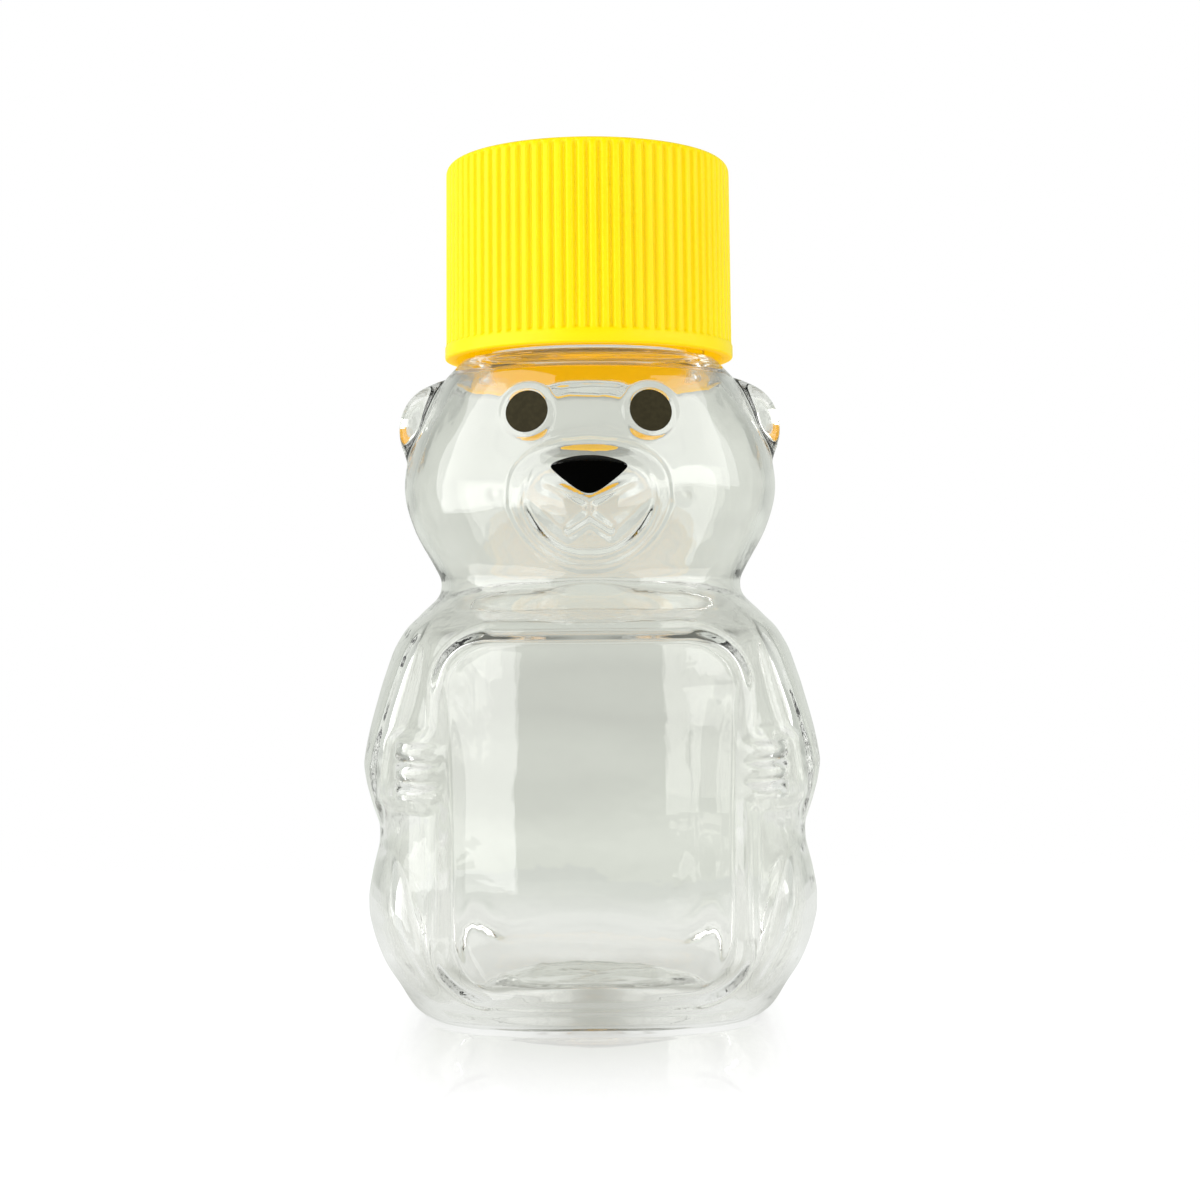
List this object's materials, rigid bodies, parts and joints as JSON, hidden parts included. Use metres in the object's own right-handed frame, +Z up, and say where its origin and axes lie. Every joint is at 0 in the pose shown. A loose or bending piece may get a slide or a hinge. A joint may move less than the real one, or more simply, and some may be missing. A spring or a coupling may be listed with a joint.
{
  "type": "honey bear bottle",
  "caption": "Small clear bear-shaped squeeze bottle with curved label panels and a threaded neck closed by a ribbed screw cap.",
  "frame": {"origin": "centre of the standing face, on the neck's axis", "axes": "+Z up along the neck's axis, -Y the way the face looks, +X to the bear's left"},
  "size_m": [0.0418, 0.0352, 0.0774],
  "materials": {
    "clear_pet": "clear glossy blow-moulded PET",
    "yellow_polypropylene": "satin injection-moulded polypropylene",
    "foam_liner": "matte foamed polyethylene",
    "black_enamel": "printed black enamel"
  },
  "bodies": {
    "bottle": {"bottle": "clear_pet", "left_eye": "black_enamel", "right_eye": "black_enamel", "nose": "black_enamel"},
    "liner": {"liner": "foam_liner"},
    "cap": {"cap": "yellow_polypropylene"}
  },
  "joints": [
    {"name": "cap_lift", "type": "slide", "parent": "bottle", "child": "liner", "axis": [0, 0, 1], "range_m": [0, 0.0207]},
    {"name": "cap_turn", "type": "hinge", "parent": "liner", "child": "cap", "pos_m": [0, 0, 0.0675], "axis": [0, 0, 1], "range_deg": [0, 2340]}
  ],
  "couplings": [
    {"joint": "cap_lift", "follows": "cap_turn", "m_per_rad": 0.00050532}
  ]
}
